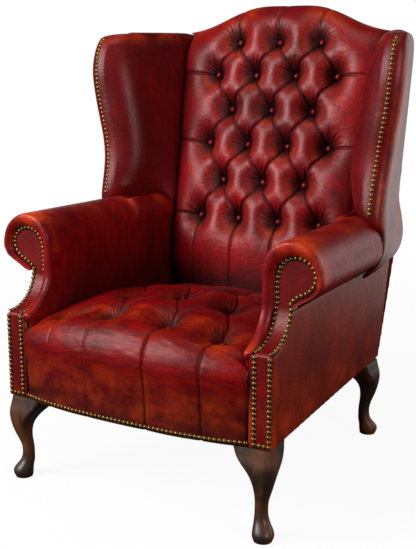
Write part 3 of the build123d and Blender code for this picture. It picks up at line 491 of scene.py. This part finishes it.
def inside_back():
    """The tufted back from behind the seat up and over the crest, and its buttons.

    One grid of leather: the face first, then the front and the rear of the roll on the crest."""
    columns, rows = 361, 541
    face_part, front_part = 0.72, 0.18
    foot, roll, rear = -204.0, 94.0, 50.0
    ridge, deep_rear = -38, 68           # w at the top of the roll, and how far on its rear goes
    front_length, rear_length = 80, 58   # of leather for each radian of the roll
    tuck_v, tuck_depth = -12, 34         # where the foot starts to bend rearwards, and how far
    crest_s, crest_width = 548, 52       # the rubbed band on the roll
    seated = -3.0                        # w of the buttons
    share = np.linspace(-1, 1, columns)[None, :]
    t = np.linspace(0, 1, rows)[:, None]
    up = np.clip(t / face_part, 0, 1)
    a = np.clip((t - face_part) / front_part, 0, 1) * math.pi / 2
    b = np.clip((t - face_part - front_part) / (1 - face_part - front_part), 0, 1) * math.pi / 2
    v0 = foot + up * (crest(share * 290) - roll - foot)
    x = share * (back_half(v0) - 1.0)
    top = crest(x)
    start = top - roll
    tuck = tuck_depth * np.clip((tuck_v - v0) / 160, 0, 1.3) ** 1.7
    face = 20 + 16 * (1 - (x / 297) ** 2) - tuck
    v = np.where(a > 0, start + roll * np.sin(a), foot + up * (start - foot))
    w = np.where(a > 0, ridge + (face - ridge) * np.cos(a), face)
    v = np.where(b > 0, top - rear * (1 - np.cos(b)), v)
    w = np.where(b > 0, ridge - deep_rear * np.sin(b), w)
    s = foot + up * (start - foot) + a * front_length + b * rear_length
    edge = rise(np.abs(x) / back_half(v0), 0.6, 1)
    buttons = [p for row in BACK_ROWS for p in row]
    drop, wear, shade = tufting(x, s, buttons, back_creases(foot), depth=43, funnel=34,
                                wrinkles=1.9, plump=8 * (1 - edge), reach=24, seed=11)
    fine = 0.22 * value_noise(x * 0.6, s * 1.6, cell=7, seed=3)
    fine += 0.35 * value_noise(x, s, cell=40, seed=4)
    base = back_place(x, v, w)
    normal = grid_normals(base)
    normal *= np.sign(np.sum(normal[rows // 3, columns // 2] * TO_SITTER))
    points = base - normal * (drop + fine * 0.6)[..., None]
    rounded = (15 * edge ** 2.2 + 16 * edge ** 12) * (a < 1.2)
    points -= rounded[..., None] * TO_SITTER
    wear *= 0.55 + 0.45 * value_noise(x, s, cell=60, seed=9)
    crest_patches = np.clip(0.75 + 0.9 * value_noise(x + 40, s * 0.5, cell=88, seed=10), 0, 1)
    wear += bell(s, crest_s, crest_width) * crest_patches
    # painted shade towards the side edges and at the foot behind the seat, added to that of the
    # dimples and creases
    shade = np.clip(shade + 0.8 * edge ** 6 + 0.85 * rise(s, -105, -165), 0, 1)
    obj = shown("inside_back_leather", points.reshape(-1, 3), grid_faces(rows, columns), BACK,
                attributes={"wear": np.clip(wear, 0, 1).ravel(), "shade": shade.ravel() * 0.92})
    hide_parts("inside_back_cover", "back_pad")
    places = [(back_place(px, pv, seated), TO_SITTER) for px, pv in buttons]
    studs = scattered("back_button_set", places, COVERED_BUTTON, BUTTON)
    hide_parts("back_buttons")


# The seat

SEAT_ROWS = [[(-205.0, 70.0), (-98.0, 70.0), (58.0, 70.0), (194.0, 70.0)],
             [(-125.0, 215.0), (5.0, 215.0), (138.0, 215.0)],
             [(-190.0, 360.0), (-62.0, 360.0), (70.0, 360.0), (200.0, 360.0)]]
SEAT_HALF = 296.0                        # half of the seat's width at the front rail
AHEAD = 9.0                              # how far the border bulges ahead of the rail's bow
NOSE = 65.0                              # depth of the rounded front
CROWN_Y, REAR_Y = 230.0, 536.0


def bow(x):
    """y of the bowed front rail's face."""
    return -32 * (1 - np.abs(x / SEAT_HALF) ** 3)


def seat_fall(share):
    """How far the seat sinks from its middle to this share of its half width."""
    return 58 * np.abs(share) ** 2.2


def seat_edge(share):
    """y and z of the line where the seat's top turns into its rounded front."""
    return bow(share * SEAT_HALF) - AHEAD + NOSE, 428 - 0.55 * seat_fall(share)


def seat_top(share, y):
    """Height of the seat's top without its buttons: a crown that falls to the front and rear."""
    crown = 457 - seat_fall(share)
    rear_z = 388 - 0.6 * seat_fall(share)
    edge_y, edge_z = seat_edge(share)
    to_rear = (crown - rear_z) * (np.maximum(y - CROWN_Y, 0) / (REAR_Y - CROWN_Y)) ** 1.5
    to_front = (crown - edge_z) * ((y - CROWN_Y) / (edge_y - CROWN_Y)) ** 2
    return crown - np.where(y > CROWN_Y, to_rear, to_front)


def seat_creases():
    """Diamonds between the buttons, pleats down the border, and creases rearwards and sideways."""
    creases = diamonds(SEAT_ROWS, 110, deep=7, broad=9, bend=9.0)
    for p, deep in zip(SEAT_ROWS[0], (2.5, 3.5, 9, 9)):
        edge = float(seat_edge(p[0] / SEAT_HALF)[0])
        turn, foot = (p[0] - 2, edge - 30), (p[0] + 2, edge - 270)
        creases.append((p, turn, deep, deep * 0.7, deep, -6.0))
        creases.append((turn, foot, deep * 0.7, deep * 0.6, deep * 0.4, 1.0))
    creases += [(p, (p[0] * 1.02, 560), 6, 4, 8, 4.0) for p in SEAT_ROWS[-1]]
    return creases + to_sides((SEAT_ROWS[0], SEAT_ROWS[-1]), lift=-14, form=(5, 2, 6, 5.0))


def seat():
    """The tufted seat with its front border, and its buttons.

    One grid of leather: the top from the rear on, then the rounded front, then the border."""
    columns, rows = 401, 561
    top_part, roll_part = 0.62, 0.14
    roll_z, foot_z = 345.0, 206.3
    wide, narrow = 295.4, 279.2          # half widths between the front posts and between the arms
    narrowing = 0.0268                   # of that half width for each millimetre rearwards
    nose_length, nose_end = 60, 94       # of leather for each radian of the nose, and in all
    border_length = 139
    sunk = 31                            # how far the buttons lie below the top
    share = np.linspace(-1, 1, columns)[None, :]
    t = np.linspace(0, 1, rows)[:, None]
    k = np.clip(t / top_part, 0, 1)
    a = np.clip((t - top_part) / roll_part, 0, 1) * math.pi / 2
    d = np.clip((t - top_part - roll_part) / (1 - top_part - roll_part), 0, 1)
    edge_y, edge_z = seat_edge(share)
    y = REAR_Y + k * (edge_y - REAR_Y)
    z = np.where(a > 0, roll_z + (edge_z - roll_z) * np.cos(a), seat_top(share, y))
    z = np.where(d > 0, roll_z - d * (roll_z - foot_z), z)
    y = np.where(a > 0, edge_y - NOSE * np.sin(a), y)
    y = np.where(d > 0, edge_y - NOSE + AHEAD * d + 3 * np.sin(math.pi * d), y)
    behind_posts = rise(y, -2, 12)
    behind_posts = behind_posts * behind_posts * (3 - 2 * behind_posts)
    x = share * (wide + (narrow - narrowing * y - wide) * behind_posts)
    s = np.where(a > 0, edge_y - a * nose_length, y)
    s = np.where(d > 0, edge_y - nose_end - d * border_length, s)
    buttons = [p for row in SEAT_ROWS for p in row]
    plump = 6 * (1 - rise(d, 0, 0.25)) * np.clip(1 - a, 0.2, 1)
    drop, wear, shade = tufting(x, s, buttons, seat_creases(), depth=36, funnel=36,
                                wrinkles=0.9, plump=plump, reach=12, seed=23)
    wavy = 0.7 * value_noise(x, s, cell=60, seed=15)
    wavy += 0.3 * value_noise(x * 0.7 + s * 0.2, s * 1.4, cell=12, seed=5)
    ripple = 0.35 * value_noise(x * 0.5, s * 2.2, cell=14, seed=8) * bell(d, 0.1, 0.2) * (a > 0.6)
    depth = drop + wavy * (1 - rise(d, 0, 1 / 6)) + ripple
    base = np.stack([x, y, z], -1)
    normal = grid_normals(base)
    normal *= np.sign(normal[rows // 4, columns // 2, 2])
    points = base - normal * depth[..., None]
    side = rise(np.abs(share), 0.93, 1)
    points[..., 1] += 5 * rise(np.abs(share), 0.975, 1) ** 2 * np.clip(a * 1.2, 0, 1)
    side_fall = 16 * (1 - np.sqrt(1 - side ** 2 * 0.98))
    points[..., 2] -= side_fall * (d <= 0) * np.clip(1.2 - a, 0, 1)
    nose_patches = np.clip(0.4 + value_noise(x, s, cell=70, seed=12), 0, 1)
    nose_wear = bell(a, 0.35, 0.5) * (k >= 0.85) * nose_patches
    border_wear = d ** 0.7 * np.clip(0.75 + value_noise(x * 0.4, s * 2, cell=40, seed=13), 0, 1)
    wear = np.clip(np.clip(wear * 0.75 + 0.5 * nose_wear, 0, 1) + border_wear, 0, 1)
    # painted shade towards the sides and down the front border, added to that of the dimples and
    # creases
    shade = np.clip(shade * 0.75 + 0.35 * side ** 2 + 0.85 * d ** 0.8, 0, 1)
    obj = shown("seat_leather", points.reshape(-1, 3), grid_faces(rows, columns), SEAT,
                attributes={"wear": wear.ravel(), "shade": shade.ravel() * 0.9})
    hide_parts("seat_cover", "seat_pad")
    places = [((px, py, float(seat_top(px / SEAT_HALF, py)) - sunk), (0, -0.05, 1))
              for px, py in buttons]
    studs = scattered("seat_button_set", places, COVERED_BUTTON, BUTTON)
    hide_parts("seat_buttons")


# Padded arms, wings and panels, grown from the frame's own covers

def relax(work, verts, rounds, upright=True):
    """Smooth some points of a mesh, at their own heights if not upright."""
    for _ in range(rounds):
        bmesh.ops.smooth_vert(work, verts=verts, factor=0.5, use_axis_x=True, use_axis_y=True,
                              use_axis_z=upright)


def islands_of(work):
    """The points of a mesh, in one list for each part that hangs together."""
    islands = []
    left = set(work.verts)
    for first in work.verts:
        if first not in left:
            continue
        left.remove(first)
        stack, island = [first], []
        while stack:
            vert = stack.pop()
            island.append(vert)
            for edge in vert.link_edges:
                other = edge.other_vert(vert)
                if other in left:
                    left.remove(other)
                    stack.append(other)
        islands.append(island)
    return islands


def tree_of(places):
    """A search tree for the nearest of some points."""
    tree = KDTree(len(places))
    for k, place in enumerate(places):
        tree.insert(place, k)
    tree.balance()
    return tree


def padded_copy(name, sources, voxel, rounds, material, swell=0.0):
    """The outer skin of some covers as one rounded, stuffed piece. voxel and swell are metres."""
    joined = bmesh.new()
    for source in sources:
        joined.from_mesh(NODES[source].data)
    data = bpy.data.meshes.new(name)
    joined.to_mesh(data)
    joined.free()
    obj = bpy.data.objects.new(name, data)
    SCENE.collection.objects.link(obj)
    remesh = obj.modifiers.new("remesh", "REMESH")
    remesh.mode = "VOXEL"
    remesh.voxel_size = voxel
    graph = bpy.context.evaluated_depsgraph_get()
    solid = bpy.data.meshes.new_from_object(obj.evaluated_get(graph))
    obj.modifiers.clear()
    work = bmesh.new()
    work.from_mesh(solid)
    inner = sorted(islands_of(work), key=len)[:-1]
    bmesh.ops.delete(work, geom=[v for island in inner for v in island], context="VERTS")
    relax(work, work.verts, rounds)
    if swell:
        work.normal_update()
        for vert in work.verts:
            vert.co += vert.normal * swell
    for face in work.faces:
        face.smooth = True
    work.to_mesh(solid)
    work.free()
    obj.data = solid
    solid.materials.clear()
    solid.materials.append(material)
    for key in ("wear", "shade"):
        solid.attributes.new(key, "FLOAT", "POINT")
    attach(obj, "root")
    return obj


def points_of(obj):
    """An object's points in millimetres."""
    co = np.empty(len(obj.data.vertices) * 3)
    obj.data.vertices.foreach_get("co", co)
    co = co.reshape(-1, 3) * 1000
    co[:, 1] += CENTRE_Y
    return co


def place_points(obj, p):
    """Put an object's points where the millimetres in p say."""
    co = p.copy()
    co[:, 1] -= CENTRE_Y
    obj.data.vertices.foreach_set("co", (co / 1000).ravel())
    obj.data.update()


def paint(obj, wear, shade):
    # wear is rubbed colour; shade is painted shade that darkens the colour
    for key, values in (("wear", wear), ("shade", shade)):
        layer = obj.data.attributes[key]
        layer.data.foreach_set("value", np.clip(values, 0, 1).astype(np.float32))


def welded(name):
    """A node's mesh with its double points merged."""
    work = bmesh.new()
    work.from_mesh(NODES[name].data)
    bmesh.ops.remove_doubles(work, verts=work.verts, dist=1e-5)
    work.normal_update()
    return work


def facing_rim(side):
    """Points along the front edge of the scroll facing and the way the facing looks there.

    On the scroll itself only edges of the front face count, not those that look up."""
    sharp, forward, scroll_z, step = 0.7, 0.7, 0.54, 2
    work = welded(side + "_arm_facing")
    places, normals = [], []
    for edge in work.edges:
        if len(edge.link_faces) != 2 or edge.calc_face_angle(0) < sharp:
            continue
        front = max((f.normal for f in edge.link_faces), key=lambda n: n.z * 0.8 - n.y)
        on_scroll = edge.verts[0].co.z > scroll_z
        if front.z * 0.8 - front.y < forward or (on_scroll and front.y > -forward):
            continue
        a, b = (v.co * 1000 + Vector((0, CENTRE_Y, 0)) for v in edge.verts)
        steps = max(int((b - a).length / step), 1)
        for k in range(steps + 1):
            places.append(tuple(a.lerp(b, k / steps)))
            normals.append(tuple(front))
    work.free()
    return np.array(places), np.array(normals)


def soften_rim(obj, side):
    """Turn the padding's square front rim into a round roll beside the facing."""
    front_part, far = 160, 60
    fat, full = 15.0, 1.25               # the roll's radius, and its height over that radius
    places, normals = facing_rim(side)
    tree = tree_of(places)
    p = points_of(obj)
    for i in np.nonzero(p[:, 1] < front_part)[0]:
        _, k, gap = tree.find(p[i])
        if gap > far:
            continue
        away = p[i] - places[k]
        high = float(away @ normals[k])
        out = float(np.linalg.norm(away - high * normals[k]))
        top = full * math.sqrt(max(fat ** 2 - (fat - min(out, fat)) ** 2, 0))
        if high > top:
            p[i] -= normals[k] * (high - top)
    place_points(obj, p)


def arm(side):
    """Inside cover and roll of one arm: rubbed on the top, rim and neck, painted shade low inside.
    """
    obj = padded_copy(side + "_arm_leather", [side + "_inside_arm_cover", side + "_arm_pad"],
                      voxel=0.004, rounds=8, material=HIDE, swell=0.0012)
    soften_rim(obj, side)
    work = bmesh.new()
    work.from_mesh(obj.data)
    relax(work, work.verts, 5)
    work.to_mesh(obj.data)
    work.free()
    p = points_of(obj)
    x, y, z = np.abs(p[:, 0]), p[:, 1], p[:, 2]
    top = bell(z, 628, 22)
    rim = bell(y, 96, 22) * (z > 540)
    neck = bell(z, 440, 40) * (y < 90)
    patch = np.clip(0.5 + value_noise(y, z + x, cell=60, seed=31), 0, 1)
    # painted shade low on the inside of the arm, above the seat
    inside = rise(z, 570, 420) * rise(y, 60, 150) * (x < 330)
    paint(obj, (0.5 * top + 0.6 * rim + 0.9 * neck) * patch, 0.6 * inside)
    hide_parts(side + "_inside_arm_cover", side + "_arm_pad")


WING_FRONT = ((560, 988), (-132, 62))    # centre and reach of the wing's upper front corner


def round_corner(y, z, centre, reach):
    """Draw what stands out at an upper corner back onto the quarter ellipse about a centre."""
    out = np.maximum((y - centre[0]) / reach[0], 0)
    up = np.maximum((z - centre[1]) / reach[1], 0)
    far = np.hypot(out, up)
    turned = (far > 1) & (out > 0) & (up > 0)
    far = np.maximum(far, 1)
    return (np.where(turned, centre[0] + reach[0] * out / far, y),
            np.where(turned, centre[1] + reach[1] * up / far, z))


def nail_heads(name, source):
    """Round brass heads where the frame has the nails of one row."""
    base_depth, raised = 0.0002, 0.5
    work = welded(source)
    places = []
    for island in islands_of(work):
        areas = {}
        for face in dict.fromkeys(f for vert in island for f in vert.link_faces):
            key = tuple(round(c, 2) for c in face.normal)
            areas[key] = areas.get(key, 0) + face.calc_area()
        axis = -Vector(max(areas, key=areas.get)).normalized()
        low = min(vert.co.dot(axis) for vert in island)
        base = [vert.co for vert in island if vert.co.dot(axis) < low + base_depth]
        middle = sum(base, Vector()) / len(base) * 1000 + Vector((0, CENTRE_Y, 0))
        x, y, z = middle + axis * raised
        if "wing" in name:
            y, z = round_corner(y, z, *WING_FRONT)
        places.append(((x, y, z), tuple(axis)))
    work.free()
    obj = scattered(name, places, NAIL_HEAD, BRASS)
    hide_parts(source)


def broaden_roll(obj, side):
    """Smooth the wing's padding between its nails and its flat inner face into one broad roll."""
    rear, low, high, clear = (640 - CENTRE_Y) / 1000, 0.66, 1.02, 0.02
    nails = welded(side + "_wing_nails")
    tree = tree_of([vert.co for vert in nails.verts])
    nails.free()
    work = bmesh.new()
    work.from_mesh(obj.data)
    work.normal_update()
    outward = -1 if side == "left" else 1
    roll = [v for v in work.verts if v.co.y < rear and low < v.co.z < high
            and v.normal.x * outward < 0.3 and tree.find(v.co)[2] > clear]
    relax(work, roll, 140, upright=False)
    work.to_mesh(obj.data)
    work.free()


def wing(side):
    """One wing inside and out, with round upper corners, rubbed on its top and outside."""
    rear_reach, rear_z, inner = (70, 30), 1020, 300
    covers = [side + part for part in ("_inside_wing_cover", "_outside_wing_panel", "_wing_pad")]
    obj = padded_copy(side + "_wing_leather", covers, voxel=0.004, rounds=60, material=PANEL,
                      swell=0.004)
    broaden_roll(obj, side)
    p = points_of(obj)
    x, y, z = np.abs(p[:, 0]), p[:, 1], p[:, 2]
    facing = np.array([v.normal.x for v in obj.data.vertices]) * np.sign(p[:, 0])
    outside = np.clip(facing * 2 - 0.8, 0, 1)
    patch = np.clip(0.5 + value_noise(y, x, cell=50, seed=41), 0, 1)
    rubbed = np.clip(0.45 + 0.6 * value_noise(y, z * 0.6, cell=70, seed=42), 0, 1)
    paint(obj, 0.5 * bell(z, 1044, 18) * patch + 0.7 * outside * rubbed, 0 * x)
    p[:, 0] -= np.sign(p[:, 0]) * 5 * rise(z, 560, 520) * rise(y, 540, 480)
    y, z = round_corner(y, z, *WING_FRONT)
    rear = y[z > 1040].max()
    turned = round_corner(y, z, (rear - rear_reach[0], rear_z), rear_reach)
    p[:, 1] = np.where(x > inner, turned[0], y)
    p[:, 2] = np.where(x > inner, turned[1], z)
    place_points(obj, p)
    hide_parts(side + "_inside_wing_cover", side + "_outside_wing_panel", side + "_wing_pad")


def panel(name, source, material, rounds=6, voxel=0.0028):
    """One flat leather with softened edges, rubbed near the floor and at the front."""
    obj = padded_copy(name, [source], voxel, rounds, material)
    p = points_of(obj)
    low = rise(p[:, 2], 330, 210)
    patch = np.clip(0.5 + value_noise(p[:, 1] + p[:, 0], p[:, 2] * 0.4, cell=36, seed=51), 0, 1)
    paint(obj, (0.6 * low + 0.4 * bell(p[:, 1], 20, 60)) * patch, 0 * low)
    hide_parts(source)


def finish_of(name):
    """The material of one of the frame's own pieces."""
    if "nails" in name:
        return BRASS
    if name.endswith("_leg"):
        return LEG
    if name in ("seat_springs", "spring_clips", "leg_bolts"):
        return STEEL
    if name in ("dust_cover", "seat_hessian", "back_webbing"):
        return CLOTH
    return FELT if name.endswith("_pad") else BEECH


inside_back()
seat()
for side in ("left", "right"):
    arm(side)
    wing(side)
    panel(side + "_side_panel", side + "_outside_arm_panel", OUTSIDE)
    panel(side + "_facing_leather", side + "_arm_facing", PANEL, rounds=2, voxel=0.0022)
    nail_heads(side + "_wing_nail_heads", side + "_wing_nails")
    nail_heads(side + "_facing_nail_heads", side + "_facing_nails")
nail_heads("border_nail_heads", "front_border_nails")
panel("rear_panel", "outside_back_panel", OUTSIDE)

for name, node in NODES.items():
    finish = finish_of(name)
    node.data.materials.clear()
    node.data.materials.append(finish)
    if finish in (BRASS, LEG):
        node.data.polygons.foreach_set("use_smooth", [True] * len(node.data.polygons))


# Stage, light and camera

def stage():
    """A flat floor. The camera sees it pale with the chair's shadow, and pure white further off.

    It throws little light on the chair from the front half and much from behind."""
    reach = 7.0
    data = bpy.data.meshes.new("floor")
    corners = [(-reach, -reach, 0), (reach, -reach, 0), (reach, reach, 0), (-reach, reach, 0)]
    data.from_pydata(corners, [], [(0, 1, 2, 3)])
    m = Nodes("floor_pale")
    apart = m.add("ShaderNodeSeparateXYZ")
    m.join(m.place(), apart.inputs[0])
    along = m.maths("MULTIPLY", apart.outputs["Y"], 0.3)
    behind = m.ramp(along, (0.42, BLACK), (0.58, WHITE))
    m.feed("Base Color", m.mix(behind, grey(0.06), grey(0.85)))
    m.value("Roughness", 0.9)
    m.value("Specular IOR Level", 0.1)
    pale = m.add("ShaderNodeBsdfDiffuse", Color=grey(0.9))
    glow = m.add("ShaderNodeEmission", Strength=1.0)
    away = m.add("ShaderNodeVectorMath", operation="LENGTH")
    m.join(m.place(), away.inputs[0])
    distance = m.maths("MULTIPLY", away.outputs["Value"], 0.2)
    white = m.ramp(distance, (0.2, grey(0.93)), (0.6, WHITE))
    rays = m.add("ShaderNodeLightPath")
    mirrored = m.maths("MULTIPLY", rays.outputs["Is Glossy Ray"], behind)
    looked_at = m.maths("MAXIMUM", rays.outputs["Is Camera Ray"], mirrored)
    seen = m.add("ShaderNodeMixShader")
    both = m.add("ShaderNodeMixShader")
    for node, sources in ((seen, (white, pale.outputs[0], glow.outputs[0])),
                          (both, (looked_at, m.shader.outputs[0], seen.outputs[0]))):
        for k, source in enumerate(sources):
            m.join(source, node.inputs[k])
    m.join(both.outputs[0], m.tree.nodes["Material Output"].inputs["Surface"])
    data.materials.append(m.material)
    obj = bpy.data.objects.new("floor", data)
    SCENE.collection.objects.link(obj)


def lamp(name, place, aim, size, power):
    """A rectangular lamp of so many watts at a place, turned to where it aims."""
    data = bpy.data.lights.new(name, "AREA")
    data.shape = "RECTANGLE"
    data.size, data.size_y = size
    data.energy = power
    obj = bpy.data.objects.new(name, data)
    SCENE.collection.objects.link(obj)
    obj.location = place
    obj.rotation_euler = (Vector(aim) - Vector(place)).to_track_quat("-Z", "Y").to_euler()


def light():
    """White for the camera, dim around the chair with a pale wall behind it, and four lamps."""
    world = bpy.data.worlds.new("studio")
    world.use_nodes = True
    m = Nodes("studio", world.node_tree)
    apart = m.add("ShaderNodeSeparateXYZ")
    m.join(m.add("ShaderNodeTexCoord").outputs["Generated"], apart.inputs[0])
    behind = m.ramp(apart.outputs["Y"], (0.35, BLACK), (0.65, WHITE))
    low = m.ramp(apart.outputs["Z"], (0.12, WHITE), (0.42, BLACK))
    wall = m.maths("MULTIPLY", behind, low)
    rays = m.add("ShaderNodeLightPath")
    shining = m.maths("ADD", m.maths("MULTIPLY", rays.outputs["Is Glossy Ray"], 0.55), 0.2)
    lit = m.maths("ADD", m.maths("MULTIPLY", wall, shining), 0.035)
    around = m.tree.nodes["Background"]
    around.inputs["Color"].default_value = WHITE
    m.join(m.maths("MAXIMUM", rays.outputs["Is Camera Ray"], lit), around.inputs["Strength"])
    SCENE.world = world
    lamp("key", (-1.7, -2.5, 2.1), aim=(0, 0, 0.7), size=(1.7, 2.0), power=152)
    lamp("right", (2.9, -1.1, 1.5), aim=(0.2, 0, 0.5), size=(0.9, 1.5), power=34)
    lamp("top", (0.2, -0.4, 3.2), aim=(0, 0, 0.5), size=(1.2, 1.2), power=12)
    lamp("behind", (2.0, 2.1, 1.5), aim=(0.3, 0, 0.6), size=(2.0, 1.2), power=12)


def camera():
    """The photo's camera."""
    focal_length, longer_side = 1016, 549          # both in pixels of the photo
    down, turned = 12.42, 31.09
    data = bpy.data.cameras.new("camera")
    data.lens = focal_length / longer_side * data.sensor_width
    data.clip_start = 0.05
    obj = bpy.data.objects.new("camera", data)
    SCENE.collection.objects.link(obj)
    obj.location = (1.243, (-1730 - CENTRE_Y) / 1000, 1.005)
    obj.rotation_euler = (math.radians(90 - down), 0, math.radians(turned))
    SCENE.camera = obj
    SCENE.view_settings.view_transform = "Standard"


stage()
light()
camera()
